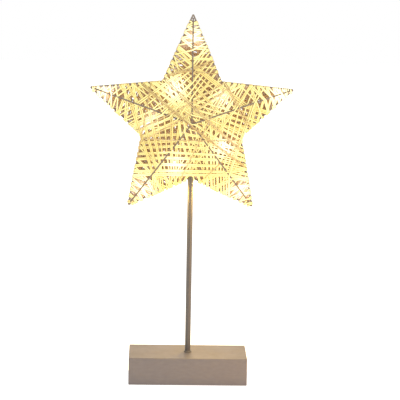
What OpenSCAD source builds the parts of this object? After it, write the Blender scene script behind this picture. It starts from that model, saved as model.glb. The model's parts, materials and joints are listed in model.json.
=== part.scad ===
// Table lamp: a five-pointed star of wire wound with paper thread and lit from inside, on a slim
// round pole over a rectangular base. The base holds three AA cells behind a hinged door, a slide
// switch at the back and a small circuit board.
// Origin: the middle of the face the base stands on. +Z is up and the front faces -Y.

/* [Base] */
// Length of the base along X
base_w = 120; // [118:1:124]
// Depth of the base along Y
base_d = 50; // [50:0.5:56]
// Height of the base
base_h = 28; // [27:0.5:32]
// Thickness of the base's walls and top
base_wall = 2; // [1.6:0.1:2]
// Radius of the base's outer edges
base_edge = 0.8; // [0.4:0.1:1.2]
// Thickness of the bottom cover and of the battery door
cover_t = 2; // [1.6:0.1:2]
// How far the cover and the door sit above the base's rim
cover_recess = 0.6; // [0.4:0.1:0.8]
// Opening angle of the battery door, for a look inside
door_angle = 0; // [0:5:90]

/* [Pole] */
// Outer diameter of the pole
pole_d = 5.6; // [5.2:0.1:6]
// Bore of the pole, which the two lamp leads run through
pole_bore = 4.4; // [4.3:0.1:4.6]
// Diameter of the flared collar at the pole's foot
collar_d = 8; // [7.6:0.2:12]

/* [Star] */
// Height of the star's centre above the table
star_z = 266.5; // [250:0.5:300]
// Distance from the centre to the middle of the wire at each tip
tip_r = 106; // [100:0.5:112]
// Distance from the centre to the two upper notches
upper_notch_r = 49; // [48:0.5:54]
// Distance from the centre to the two side notches
side_notch_r = 51; // [49:0.5:55]
// Angle of the side notches from straight up
side_notch_angle = 106; // [104:0.5:108]
// Distance from the centre down to the notch that the pole meets
foot_notch_r = 56.5; // [55:0.5:60]
// Depth of the front and back hubs from the plane of the outline
hub_depth = 22; // [18:0.5:24]
// Diameter of the frame's wire
wire_d = 1.5; // [1.2:0.1:1.6]
// Thickness of the layer of thread
thread_t = 0.9; // [0.8:0.1:1.4]

/* [Electrics] */
// Diameter of an AA cell
cell_d = 14.5; // [13.5:0.1:14.5]
// Length of an AA cell with its positive cap
cell_l = 50.5; // [49.5:0.1:50.5]
// Travel of the switch knob from on to off
switch_travel = 3; // [2:0.5:4]
// Diameter of a lead
lead_d = 1; // [0.8:0.1:1]
// Diameter of an LED
led_d = 3; // [2.6:0.1:3]

/* [Hidden] */
$fn = 48;
EPS = 0.5;
GAP = 0.05;

// Base
inner_w = base_w - 2 * base_wall;
inner_d = base_d - 2 * base_wall;
ceiling_z = base_h - base_wall;
cover_z = cover_recess;
cover_top = cover_z + cover_t;
fit_gap = 0.3;

// Battery door and its hinge
hinge_r = 1.8;
hinge_x = 3.2;
hinge_z = cover_z + hinge_r;
pin_r = 0.9;
pin_bore_r = 0.95;
ear_in_y = 20.6;
ear_out_y = 22.4;
door_end_x = -inner_w / 2 + fit_gap;
cover_start_x = hinge_x + hinge_r + 0.4;

// Cells and holder
cell_pitch = cell_d + 0.2;
cell_z = 3.2 + cell_d / 2;
holder_t = 1.2;
holder_side_t = 0.7;
holder_left = -inner_w / 2 + 0.6;
holder_inner_l = cell_l + 5.1;
holder_right = holder_left + holder_inner_l + 2 * holder_t;
holder_in_y = cell_pitch + cell_d / 2 + 0.1;
holder_roof_z = cell_z + cell_d / 2 + 0.3;
contact_t = 0.4;
contact_w = 9;
contact_h = 11;
tab_w = 3;
left_plate_x = holder_left + holder_t + GAP;
right_plate_x = holder_right - holder_t - GAP - contact_t;
spring_l = holder_inner_l - cell_l - 2 * contact_t - 3 * GAP;

// Screw posts: the two that hold the battery holder and the four that hold the cover
holder_post_x = holder_right + 3;
holder_post_y = 17;
cover_posts = [[12, -19], [12, 19], [53, -19], [53, 19]];
post_r = 2.8;
screw_r = 1;
screw_l = 6.4;
screw_head_r = 2;
cover_head_h = 1;
holder_head_h = 1.1;
pilot_l = 8;

// Board, and the switch on the back wall
board_x = 31;
board_w = 28;
board_d = 26;
board_z = 12;
board_t = 1.6;
board_posts = [[board_x - 11, -10], [board_x + 11, 10]];
board_screw_l = 6;
switch_x = 32;
switch_z = 14;
switch_screw_dx = 7.6;
switch_screw_r = screw_r - 0.15;
knob_half_w = 2;
knob_half_h = 1.9;
window_half_w = 2.2;
window_half_h = 2.2;

// Pole and sleeve
foot_notch_z = star_z - foot_notch_r;
pole_bottom = holder_roof_z + holder_t + 2.3;
pole_top = foot_notch_z + 2.5;
sleeve_d = pole_d + 0.9;
sleeve_bottom = foot_notch_z - 2.5;
nut_r = 5.2;
nut_h = 3;
washer_r = 6.5;
washer_t = 1.1;

// Star: the outline goes tip, notch, tip, notch clockwise from the top, as [x, y, z]
wire_r = wire_d / 2;
notch_radii = [upper_notch_r, side_notch_r, foot_notch_r, side_notch_r, upper_notch_r];
notch_angles = [36, side_notch_angle, 180, 360 - side_notch_angle, 324];
function on_star(r, angle, y = 0) = [r * sin(angle), y, star_z + r * cos(angle)];
tips = [for (i = [0:4]) on_star(tip_r, 72 * i)];
notches = [for (i = [0:4]) on_star(notch_radii[i], notch_angles[i])];
outline = [for (i = [0:9]) i % 2 == 0 ? tips[i / 2] : notches[(i - 1) / 2]];

// The middle of the lamp leads' route, as [x, z from the star's centre] with x to the right, and
// half the distance between the two leads, which part around the wire where the pole ends
pole_lead_y = 1.6;
string_lead_y = 0.6;
string_route = [
    [0, -49], [-7, -44], [-16, -42], [-28, -46], [-37, -56], [-43, -66], [-47, -63], [-40, -47],
    [-35, -28], [-35, -4], [-42, 11], [-58, 15], [-74, 20], [-83, 25], [-81, 29], [-58, 23],
    [-34, 24], [-16, 33], [-6, 48], [-3, 64], [0, 79], [4, 76], [7, 50], [15, 32], [30, 23],
    [50, 20], [68, 25], [83, 29], [84, 24], [68, 18], [50, 11], [35, 1], [30, -16], [35, -32],
    [42, -50], [48, -64]];

// Where each LED's base sits, as [x, z from the star's centre], and where it points: an angle from
// straight up within the star's plane, or -1 for the front and -2 for the back
led_places = [
    [[-16, -42], -1], [[-46.3, -66.2], 216], [[-38.5, 3.5], -2], [[-84.2, 27.6], 288],
    [[-16, 33], -1], [[1.8, 80.2], 0], [[30, 23], -2], [[85.2, 27.2], 72],
    [[32.5, -24], -1], [[49.2, -67.2], 144]];
led_l = 4.6;

// ---------------------------------------------------------------- helpers

function unit(v) = v / norm(v);

// A point on the curve that rounds the corner b between a and c, starting reach away from b
function corner_point(a, b, c, reach, t) =
    let (p = b + unit(a - b) * min(reach, norm(a - b) / 2.2))
    let (q = b + unit(c - b) * min(reach, norm(c - b) / 2.2))
    (1 - t) * (1 - t) * p + 2 * t * (1 - t) * b + t * t * q;

// An open route with its corners rounded
function rounded_route(points, reach, steps = 3) = concat(
    [points[0]],
    [for (i = [1:len(points) - 2], k = [0:steps - 1])
        corner_point(points[i - 1], points[i], points[i + 1], reach, k / (steps - 1))],
    [points[len(points) - 1]]);

// A closed route with its corners rounded
function rounded_loop(points, reach, steps = 4) =
    let (n = len(points))
    [for (i = [0:n - 1], k = [0:steps - 1])
        corner_point(points[(i + n - 1) % n], points[i], points[(i + 1) % n], reach, k / (steps - 1))];

// The ring of points around p, square to the direction d; up may be any direction off d
function ring(p, d, up, r, sides) =
    let (u = unit(cross(d, up)))
    let (v = cross(u, d))
    [for (k = [0:sides - 1]) p + r * (u * cos(360 * k / sides) + v * sin(360 * k / sides))];

// A tube swept along a route, with a radius for each point
module tube(points, r, up, sides = 8, closed = false) {
    n = len(points);
    radii = is_list(r) ? r : [for (p = points) r];
    function before(i) = closed ? points[(i + n - 1) % n] : points[max(i - 1, 0)];
    function after(i) = closed ? points[(i + 1) % n] : points[min(i + 1, n - 1)];
    rings = [for (i = [0:n - 1]) each ring(points[i], unit(after(i) - before(i)), up, radii[i], sides)];
    last = closed ? n - 1 : n - 2;
    walls = [for (i = [0:last], k = [0:sides - 1])
        let (j = (i + 1) % n, m = (k + 1) % sides)
        [i * sides + k, i * sides + m, j * sides + m, j * sides + k]];
    ends = closed ? [] : [
        [for (k = [sides - 1:-1:0]) k],
        [for (k = [0:sides - 1]) (n - 1) * sides + k]];
    polyhedron(rings, concat(walls, ends), convexity = 6);
}

// A rectangle around the middle with all corners rounded, or only the upper two from the line y = 0
function arc(x, y, r, from) =
    [for (k = [0:4]) let (a = from + 22.5 * k) [x + r * cos(a), y + r * sin(a)]];

function rounded_box(w, h, r) = concat(
    arc(w / 2 - r, h / 2 - r, r, 0), arc(r - w / 2, h / 2 - r, r, 90),
    arc(r - w / 2, r - h / 2, r, 180), arc(w / 2 - r, r - h / 2, r, 270));
function rounded_top(w, h, r) = concat(
    [[-w / 2, -1], [w / 2, -1]], arc(w / 2 - r, h - r, r, 0), arc(r - w / 2, h - r, r, 90));

// A plain box given by its low corner and its high corner
module block(low, high) {
    translate(low)
        cube(high - low);
}

// A round pin along X, Y or Z that starts at p
module pin_x(p, r, l) {
    translate(p)
        rotate([0, 90, 0])
            cylinder(r = r, h = l);
}

module pin_y(p, r, l) {
    translate(p)
        rotate([-90, 0, 0])
            cylinder(r = r, h = l);
}

// A pan-head screw that points up from the top of its head at z = 0, with a cross recess below
module screw_up(r, l, head_r, head_h) {
    recess_l = head_r * 1.2;
    recess_w = 0.5;
    recess_h = 0.5;
    difference() {
        union() {
            translate([0, 0, -head_h])
                cylinder(r = head_r, h = head_h);
            translate([0, 0, -EPS])
                cylinder(r = r, h = l + EPS);
        }
        translate([-recess_l / 2, -recess_w / 2, -head_h - 1])
            cube([recess_l, recess_w, recess_h + 1]);
        translate([-recess_w / 2, -recess_l / 2, -head_h - 1])
            cube([recess_w, recess_l, recess_h + 1]);
    }
}

// ---------------------------------------------------------------- base

module outer_block() {
    intersection() {
        linear_extrude(base_h)
            polygon(rounded_box(base_w, base_d, base_edge));
        translate([0, base_d, 0])
            rotate([90, 0, 0])
                linear_extrude(2 * base_d)
                    polygon(rounded_top(base_w, base_h, base_edge));
        translate([-base_w, 0, 0])
            rotate([90, 0, 90])
                linear_extrude(2 * base_w)
                    polygon(rounded_top(base_d, base_h, base_edge));
    }
}

// A post that hangs from the ceiling down to z, with a pilot hole for a screw
module post(at, z) {
    difference() {
        translate([at[0], at[1], z])
            cylinder(r = post_r, h = ceiling_z - z + EPS);
        translate([at[0], at[1], z - 1])
            cylinder(r = screw_r + GAP, h = pilot_l);
    }
}

module base_shell() {
    color("rosybrown") {
        difference() {
            outer_block();
            block([-inner_w / 2, -inner_d / 2, -1], [inner_w / 2, inner_d / 2, ceiling_z]);
            translate([0, 0, ceiling_z - 1])
                cylinder(r = pole_d / 2 + 0.1, h = base_wall + 2);
            block([switch_x - window_half_w, inner_d / 2 - 1, switch_z - window_half_h],
                  [switch_x + switch_travel + window_half_w, base_d / 2 + 1, switch_z + window_half_h]);
            for (side = [-1, 1])
                pin_y([switch_x + switch_travel / 2 + side * switch_screw_dx, inner_d / 2 - 1, switch_z],
                      screw_r + 0.1, base_wall + 2);
        }
        for (at = cover_posts)
            post(at, cover_top);
        for (side = [-1, 1])
            post([holder_post_x, side * holder_post_y], holder_roof_z + holder_t);
        for (at = board_posts)
            post(at, board_z + board_t);
    }
}

module bottom_cover() {
    half_d = inner_d / 2 - fit_gap;
    color("dimgray")
        difference() {
            union() {
                block([cover_start_x, -half_d, cover_z], [inner_w / 2 - fit_gap, half_d, cover_top]);
                for (side = [-1, 1])
                    hinge_ear(side);
            }
            for (at = cover_posts) {
                translate([at[0], at[1], cover_z - 1])
                    cylinder(r = screw_r + 0.2, h = cover_t + 2);
                translate([at[0], at[1], cover_z - 1])
                    cylinder(r = screw_head_r + 0.1, h = cover_head_h + 1.1);
            }
        }
}

// One of the two ears of the bottom cover that the door's pins turn in
module hinge_ear(side) {
    near_y = side > 0 ? ear_in_y : -ear_out_y;
    ear_w = ear_out_y - ear_in_y;
    web_top = cover_z + 2 * hinge_r - 0.4;
    difference() {
        union() {
            pin_y([hinge_x, near_y, hinge_z], hinge_r, ear_w);
            block([hinge_x, near_y, cover_z], [cover_start_x + 1, near_y + ear_w, web_top]);
        }
        pin_y([hinge_x, near_y - 1, hinge_z], pin_bore_r, ear_w + 2);
    }
}

module cover_screws() {
    color("silver")
        for (at = cover_posts)
            translate([at[0], at[1], cover_z + cover_head_h + 0.1])
                screw_up(screw_r, screw_l, screw_head_r, cover_head_h);
}

module battery_door() {
    wide_y = inner_d / 2 - fit_gap;
    barrel_y = ear_in_y - 0.3;
    wide_end = hinge_x - hinge_r - 0.4;
    tongue_w = 14;
    slit_w = 1;
    slit_l = 12;
    groove_x = door_end_x + 3;
    groove_pitch = 2.2;
    groove_w = 1;
    groove_l = 10;
    groove_h = 0.5;
    color("dimgray")
        translate([hinge_x, 0, hinge_z])
            rotate([0, -door_angle, 0])
                translate([-hinge_x, 0, -hinge_z])
                    difference() {
                        union() {
                            block([door_end_x, -wide_y, cover_z], [wide_end, wide_y, cover_top]);
                            block([wide_end - 1, -barrel_y, cover_z], [hinge_x, barrel_y, cover_top]);
                            pin_y([hinge_x, -barrel_y, hinge_z], hinge_r, 2 * barrel_y);
                            pin_y([hinge_x, -ear_out_y, hinge_z], pin_r, 2 * ear_out_y);
                        }
                        // The slits that free the snap tongue, and the grip grooves beside it
                        for (side = [-1, 1])
                            block([door_end_x - 1, (side * tongue_w - slit_w) / 2, cover_z - 1],
                                  [door_end_x + slit_l, (side * tongue_w + slit_w) / 2, cover_top + 1]);
                        for (k = [0:3])
                            let (x = groove_x + groove_pitch * k)
                                block([x, -groove_l / 2, cover_z - 1],
                                      [x + groove_w, groove_l / 2, cover_z + groove_h]);
                    }
}

// ---------------------------------------------------------------- cells and contacts

module battery_holder() {
    out_y = holder_in_y + holder_side_t;
    low_z = cover_top + 0.3;
    roof_top = holder_roof_z + holder_t;
    lug_half_w = 4;
    lug_l = 6;
    color("dimgray")
        difference() {
            union() {
                block([holder_left, -out_y, low_z], [holder_right, out_y, roof_top]);
                for (side = [-1, 1])
                    block([holder_right - 1, side * holder_post_y - lug_half_w, holder_roof_z],
                          [holder_right + lug_l, side * holder_post_y + lug_half_w, roof_top]);
            }
            block([holder_left + holder_t, -holder_in_y, low_z - 1],
                  [holder_right - holder_t, holder_in_y, holder_roof_z]);
            // The slots that the two end contacts' tabs come up through
            tab_slot(left_plate_x, cell_pitch);
            tab_slot(right_plate_x, -cell_pitch);
            for (side = [-1, 1])
                translate([holder_post_x, side * holder_post_y, holder_roof_z - 1])
                    cylinder(r = screw_r + 0.1, h = holder_t + 2);
        }
}

// The slot around a contact's tab at x and y
module tab_slot(x, y) {
    half_w = tab_w / 2 + 0.3;
    block([x - GAP, y - half_w, holder_roof_z - 1],
          [x + contact_t + GAP, y + half_w, holder_roof_z + holder_t + 1]);
}

module holder_screws() {
    color("silver")
        for (side = [-1, 1])
            translate([holder_post_x, side * holder_post_y, holder_roof_z])
                screw_up(screw_r, screw_l, screw_head_r, holder_head_h);
}

// A cell along X with its positive cap towards +X, turned round where flipped is true
module aa_cell(index, flipped) {
    left_x = left_plate_x + contact_t + GAP;
    right_x = right_plate_x - GAP;
    cap_r = 2.7;
    cap_l = 1.3;
    ring_r = cell_d / 2 - 0.5;
    ring_l = 0.6;
    x = flipped ? left_x : right_x;
    translate([x, (index - 2) * cell_pitch, cell_z])
        rotate([0, flipped ? 90 : -90, 0])
            union() {
                cylinder(r = cap_r, h = cap_l + EPS);
                translate([0, 0, cap_l])
                    cylinder(r = ring_r, h = ring_l + EPS);
                translate([0, 0, cap_l + ring_l])
                    cylinder(r = cell_d / 2, h = cell_l - cap_l - ring_l);
            }
}

module aa_cell_1() {
    color("darkorange")
        aa_cell(1, true);
}

module aa_cell_2() {
    color("darkorange")
        aa_cell(2, false);
}

module aa_cell_3() {
    color("darkorange")
        aa_cell(3, true);
}

// A flat contact plate on an end wall, from y0 to y1; side is -1 at the left and 1 at the right
module contact_plate(side, y0, y1) {
    x = side < 0 ? left_plate_x : right_plate_x;
    block([x, y0, cell_z - contact_h / 2], [x + contact_t, y1, cell_z + contact_h / 2]);
}

// A conical coil spring that presses on a cell's flat end, from a plate on the side given
module contact_spring(side, y) {
    coils = 3.5;
    steps = 42;
    wire = 0.35;
    wide_r = 4.4;
    narrow_r = 2.4;
    plate_x = side < 0 ? left_plate_x + contact_t : right_plate_x;
    start = wire * 0.6;
    travel = spring_l - wire - start;
    route = [for (i = [0:steps])
        let (t = i / steps, r = wide_r + (narrow_r - wide_r) * t, a = 360 * coils * t)
        [plate_x - side * (start + travel * t), y + r * cos(a), cell_z + r * sin(a)]];
    tube(route, wire, [1, 0, 0], 6);
}

// The tab of an end contact, which comes up through the holder's roof to its lead
module contact_tab(side, y) {
    x = side < 0 ? left_plate_x : right_plate_x;
    rise = 1.5;
    block([x, y - tab_w / 2, cell_z], [x + contact_t, y + tab_w / 2, holder_roof_z + holder_t + rise]);
}

module negative_contact() {
    color("silver") {
        contact_plate(1, -cell_pitch - contact_w / 2, -cell_pitch + contact_w / 2);
        contact_tab(1, -cell_pitch);
        contact_spring(1, -cell_pitch);
    }
}

module positive_contact() {
    color("silver") {
        contact_plate(-1, cell_pitch - contact_w / 2, cell_pitch + contact_w / 2);
        contact_tab(-1, cell_pitch);
    }
}

module left_bridge() {
    color("silver") {
        contact_plate(-1, -cell_pitch - contact_w / 2, contact_w / 2);
        contact_spring(-1, 0);
    }
}

module right_bridge() {
    color("silver") {
        contact_plate(1, -contact_w / 2, cell_pitch + contact_w / 2);
        contact_spring(1, cell_pitch);
    }
}

// ---------------------------------------------------------------- switch, board and leads

switch_mid = switch_x + switch_travel / 2;
switch_back_y = inner_d / 2 - GAP;
switch_front_y = switch_back_y - 0.6;
switch_pin_pitch = 3;
switch_pin_y = switch_front_y - 7.5;

// The flange is screwed to the back wall; the can sits in front of it and ends in three pins
module switch_body() {
    flange_half = [10, 3];
    can_half = [5.6, 2.8];
    can_front_y = switch_front_y - 5;
    pin_half = [0.4, 0.8];
    slot_half = [2.6, 2.1];
    slot_depth = 1.6;
    color("silver")
        difference() {
            union() {
                block([switch_mid - flange_half[0], switch_front_y, switch_z - flange_half[1]],
                      [switch_mid + flange_half[0], switch_back_y, switch_z + flange_half[1]]);
                block([switch_mid - can_half[0], can_front_y, switch_z - can_half[1]],
                      [switch_mid + can_half[0], switch_front_y + 0.3, switch_z + can_half[1]]);
                for (k = [-1, 0, 1])
                    let (x = switch_mid + switch_pin_pitch * k)
                        block([x - pin_half[0], switch_pin_y, switch_z - pin_half[1]],
                              [x + pin_half[0], can_front_y + EPS, switch_z + pin_half[1]]);
            }
            block([switch_x - slot_half[0], switch_front_y - slot_depth, switch_z - slot_half[1]],
                  [switch_x + switch_travel + slot_half[0], switch_back_y + 1, switch_z + slot_half[1]]);
            for (side = [-1, 1])
                pin_y([switch_mid + side * switch_screw_dx, switch_front_y - 1, switch_z],
                      switch_screw_r + GAP, 3);
        }
}

// The knob at rest is at the on end of its slot, and slides towards +X to switch off
module switch_knob() {
    low_y = switch_front_y - 1.5;
    high_y = base_d / 2 + 1.5;
    rib_pitch = 1.1;
    groove_w = 0.5;
    groove_h = 0.4;
    color("black")
        difference() {
            block([switch_x - knob_half_w, low_y, switch_z - knob_half_h],
                  [switch_x + knob_half_w, high_y, switch_z + knob_half_h]);
            for (k = [-1, 0, 1])
                block([switch_x + rib_pitch * k - groove_w / 2, high_y - groove_h, switch_z - 3],
                      [switch_x + rib_pitch * k + groove_w / 2, high_y + 1, switch_z + 3]);
        }
}

module switch_screws() {
    color("silver")
        for (side = [-1, 1])
            translate([switch_mid + side * switch_screw_dx, base_d / 2 + GAP, switch_z])
                rotate([90, 0, 0])
                    screw_up(switch_screw_r, 4.4, 1.8, 0.9);
}

module circuit_board() {
    color("darkgreen")
        difference() {
            block([board_x - board_w / 2, -board_d / 2, board_z],
                  [board_x + board_w / 2, board_d / 2, board_z + board_t - GAP]);
            for (at = board_posts)
                translate([at[0], at[1], board_z - 1])
                    cylinder(r = screw_r + 0.15, h = board_t + 2);
        }
}

module board_screws() {
    color("silver")
        for (at = board_posts)
            translate([at[0], at[1], board_z - GAP])
                screw_up(screw_r, board_screw_l, screw_head_r, holder_head_h);
}

module dropping_resistor() {
    middle = [board_x, 4, board_z - 1.4];
    half_body = 3.2;
    body_r = 1.25;
    leg_r = 0.3;
    leg_x = 5.2;
    leg_end = 5.4;
    color("tan")
        union() {
            pin_x(middle - [half_body, 0, 0], body_r, 2 * half_body);
            pin_x(middle - [leg_end, 0, 0], leg_r, 2 * leg_end);
            for (side = [-1, 1])
                translate(middle + [side * leg_x, 0, 0])
                    cylinder(r = leg_r, h = board_z - GAP - middle[2]);
        }
}

board_top = board_z + board_t;
lead_z = pole_bottom - 1.2;
lead_end_z = board_top + 0.02;

module battery_lead_red() {
    tab_x = left_plate_x + contact_t + GAP;
    color("red")
        tube(rounded_route([
            [tab_x + lead_d / 2, cell_pitch, lead_z - 0.3], [tab_x + 6, cell_pitch, lead_z + 1],
            [-10, 14, lead_z + 1], [12, 12.5, lead_z + 1], [22, 5, 17], [22, 5, lead_end_z]], 2),
            lead_d / 2, [0.1, 1, 0.2]);
}

module battery_lead_black() {
    start_x = right_plate_x + contact_t + GAP + lead_d / 2;
    color("black")
        tube(rounded_route([
            [start_x, -cell_pitch - 1, lead_z], [start_x, -11, lead_z], [6, -9.5, lead_z],
            [16, -5, 18.5], [24, -4, 17], [24, -4, lead_end_z]], 2),
            lead_d / 2, [1, -1, 1]);
}

module switch_leads() {
    color("black")
        for (k = [0, 1])
            tube(rounded_route([
                [switch_mid - switch_pin_pitch * k, switch_pin_y - GAP - lead_d / 2, switch_z],
                [switch_mid - switch_pin_pitch * k, 12, 17.5],
                [36 - 4 * k, 8, 18], [36 - 4 * k, 6, 17], [36 - 4 * k, 6, lead_end_z]], 2),
                lead_d / 2, [1, 0.1, 0.2]);
}

// A lamp lead runs from the board over the holder, up the pole and around the LEDs. Its route is
// the string's middle moved to one side, and by more where the leads part around the wire.
function lamp_route(side) = concat(
    [[20, side * 3, lead_end_z], [20, side * 3, 17], [10, side * 2.4, lead_z],
     [0, side * pole_lead_y, lead_z], [0, side * pole_lead_y, pole_bottom + 4],
     [0, side * pole_lead_y, pole_top + 1]],
    [for (p = string_route) [p[0], side * string_lead_y, star_z + p[1]]]);

module lamp_lead(side) {
    tube(rounded_route(lamp_route(side), 3), lead_d / 2, [0.13, 1, 0.07]);
}

module lamp_lead_plus() {
    color("orange")
        lamp_lead(-1);
}

module lamp_lead_minus() {
    color("orange")
        lamp_lead(1);
}

// ---------------------------------------------------------------- pole

// The cut across the pole's and the sleeve's top ends that the outline wire lies in
module wire_slot() {
    slope = (tips[2][2] - foot_notch_z) / tips[2][0];
    reach = sleeve_d;
    half_slot = wire_r + 0.1;
    drop = half_slot * norm([1, slope]);
    translate([0, half_slot, 0])
        rotate([90, 0, 0])
            linear_extrude(2 * half_slot)
                polygon([
                    [-reach, pole_top + 5], [-reach, foot_notch_z + slope * reach - drop],
                    [0, foot_notch_z - drop],
                    [reach, foot_notch_z + slope * reach - drop], [reach, pole_top + 5]]);
}

module pole() {
    color("gray")
        difference() {
            translate([0, 0, pole_bottom])
                cylinder(r = pole_d / 2, h = pole_top - pole_bottom);
            translate([0, 0, pole_bottom - 1])
                cylinder(r = pole_bore / 2, h = pole_top - pole_bottom + 2);
            wire_slot();
        }
}

module pole_collar() {
    in_r = pole_d / 2 + GAP;
    out_r = collar_d / 2;
    color("gray")
        translate([0, 0, base_h + 0.02])
            rotate_extrude()
                polygon([[in_r, 0], [out_r, 0], [out_r, 0.6], [out_r - 0.5, 1.1], [in_r, 1.5]]);
}

module pole_washer() {
    color("silver")
        translate([0, 0, ceiling_z - washer_t - 0.02])
            difference() {
                cylinder(r = washer_r, h = washer_t);
                translate([0, 0, -1])
                    cylinder(r = pole_d / 2 + GAP, h = washer_t + 2);
            }
}

module pole_nut() {
    color("silver")
        translate([0, 0, ceiling_z - washer_t - nut_h - 0.04])
            difference() {
                cylinder(r = nut_r, h = nut_h, $fn = 6);
                translate([0, 0, -1])
                    cylinder(r = pole_d / 2 + GAP, h = nut_h + 2);
            }
}

module star_sleeve() {
    color("gray")
        difference() {
            translate([0, 0, sleeve_bottom])
                cylinder(r = sleeve_d / 2, h = pole_top - sleeve_bottom);
            translate([0, 0, sleeve_bottom - 1])
                cylinder(r = pole_d / 2 + GAP / 2, h = pole_top - sleeve_bottom + 2);
            wire_slot();
        }
}

// ---------------------------------------------------------------- star

module outline_wire() {
    color("dimgray")
        tube(rounded_loop(outline, 1.2), wire_r, [0, 1, 0], 10, true);
}

// The five wires from the tips to the hub at the front (side -1) or the back (side 1), with the
// bead of weld that joins them there. Each stops where it meets the outline's two wires.
module ridge_wires(side) {
    hub = [0, side * hub_depth, star_z];
    weld = 3.6;
    bead_r = wire_r * 1.1;
    for (tip = tips)
        tube([hub, tip + unit(hub - tip) * weld], wire_r, [0.2, 1, 0.3], 8);
    translate(hub)
        sphere(r = bead_r, $fn = 20);
}

module front_ridge_wires() {
    color("dimgray")
        ridge_wires(-1);
}

module back_ridge_wires() {
    color("dimgray")
        ridge_wires(1);
}

// The solid around one arm: from its tip to the two notches beside it and both hubs
module arm(i, r) {
    corners = [tips[i], notches[i], notches[(i + 4) % 5],
               on_star(0, 0, hub_depth), on_star(0, 0, -hub_depth)];
    hull()
        for (p = corners)
            translate(p)
                sphere(r = r, $fn = 12);
}

// The sector of the star that arm i fills, kept a little apart from its neighbours
module arm_sector(i) {
    apart = 0.1;
    reach = 240;
    half_depth = hub_depth + 28;
    function ray(p) = reach * unit([p[0], p[2] - star_z]);
    start = apart * unit([tips[i][0], tips[i][2] - star_z]);
    translate([0, half_depth, star_z])
        rotate([90, 0, 0])
            linear_extrude(2 * half_depth)
                polygon([start, start + ray(notches[(i + 4) % 5]), ray(tips[i]),
                         start + ray(notches[i])]);
}

// The layer of thread, as five thin arms that are open to each other. The real thread is wound in
// one piece over the frame, with gaps that the light comes through.
module thread_winding() {
    inside = wire_r + 0.2;
    sleeve_hole_h = 30;
    color("khaki")
        for (i = [0:4])
            difference() {
                intersection() {
                    difference() {
                        arm(i, inside + thread_t);
                        arm(i, inside);
                    }
                    arm_sector(i);
                }
                translate([0, 0, foot_notch_z - sleeve_hole_h * 2 / 3])
                    cylinder(r = sleeve_d / 2 + 0.4, h = sleeve_hole_h);
            }
}

// ---------------------------------------------------------------- LEDs

// An LED with its base at the origin, pointing up
module led() {
    r = led_d / 2;
    rim_r = r + 0.2;
    rim_h = 0.7;
    rotate_extrude()
        polygon(concat(
            [[0, 0], [rim_r, 0], [rim_r, rim_h], [r, rim_h]],
            [for (k = [0:5]) [r * cos(18 * k), led_l - r + r * sin(18 * k)]]));
}

module led_at(i) {
    place = led_places[i - 1];
    at = [place[0][0], 0, star_z + place[0][1]];
    angle = place[1];
    off = string_lead_y + lead_d / 2 + 0.15;
    color("lightyellow")
        if (angle == -1)
            translate(at - [0, off, 0])
                rotate([90, 0, 0])
                    led();
        else if (angle == -2)
            translate(at + [0, off, 0])
                rotate([-90, 0, 0])
                    led();
        else
            translate(at)
                rotate([0, angle, 0])
                    led();
}

// ---------------------------------------------------------------- the lamp

base_shell();
bottom_cover();
cover_screws();
battery_door();
battery_holder();
holder_screws();
aa_cell_1();
aa_cell_2();
aa_cell_3();
negative_contact();
positive_contact();
left_bridge();
right_bridge();
switch_body();
switch_knob();
switch_screws();
circuit_board();
board_screws();
dropping_resistor();
battery_lead_red();
battery_lead_black();
switch_leads();
lamp_lead_plus();
lamp_lead_minus();
pole();
pole_collar();
pole_washer();
pole_nut();
star_sleeve();
outline_wire();
front_ridge_wires();
back_ridge_wires();
thread_winding();
for (i = [1:10])
    led_at(i);
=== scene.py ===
"""Looks of a lit star lamp: a wire star wound with paper thread, on a slim pole over a block base.

The CAD nodes keep their shape and get procedural materials. The star's plain winding
solid is replaced by the thread itself: chords laid over the frame, each one pulled taut
over the ridge wires and, but for the lining, turned round the outline wire at its ends.
Lengths are in millimetres until a mesh is written in metres. Materials, lights and the
camera are in metres.
"""

import json
import math
import random

import bpy
import numpy as np
from mathutils import Matrix, Vector

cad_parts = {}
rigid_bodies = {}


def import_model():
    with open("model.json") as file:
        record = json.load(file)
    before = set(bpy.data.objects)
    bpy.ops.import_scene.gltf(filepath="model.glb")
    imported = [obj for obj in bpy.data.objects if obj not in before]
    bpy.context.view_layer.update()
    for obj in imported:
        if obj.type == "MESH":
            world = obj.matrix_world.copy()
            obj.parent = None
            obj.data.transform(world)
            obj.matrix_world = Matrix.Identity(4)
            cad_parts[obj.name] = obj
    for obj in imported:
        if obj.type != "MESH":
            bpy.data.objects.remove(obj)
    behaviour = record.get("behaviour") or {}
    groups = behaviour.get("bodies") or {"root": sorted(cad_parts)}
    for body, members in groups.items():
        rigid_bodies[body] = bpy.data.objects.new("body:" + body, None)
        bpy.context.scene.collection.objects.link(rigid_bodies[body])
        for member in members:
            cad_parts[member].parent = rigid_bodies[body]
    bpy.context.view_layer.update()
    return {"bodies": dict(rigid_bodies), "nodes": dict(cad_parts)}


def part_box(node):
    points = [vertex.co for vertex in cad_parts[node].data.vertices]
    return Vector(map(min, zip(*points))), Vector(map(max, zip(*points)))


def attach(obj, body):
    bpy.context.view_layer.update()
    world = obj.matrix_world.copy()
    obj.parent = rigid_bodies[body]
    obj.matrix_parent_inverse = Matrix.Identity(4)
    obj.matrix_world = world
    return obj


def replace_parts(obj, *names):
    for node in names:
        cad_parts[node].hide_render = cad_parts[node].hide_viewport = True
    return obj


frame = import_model()

MM = 0.001
SEED = 41
rng = random.Random(SEED)
scene = bpy.context.scene


# ---------------------------------------------------------------- places taken from the CAD

wire_low, wire_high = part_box("outline_wire")
ridge_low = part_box("front_ridge_wires")[0]
door_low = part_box("battery_door")[0]

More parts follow.
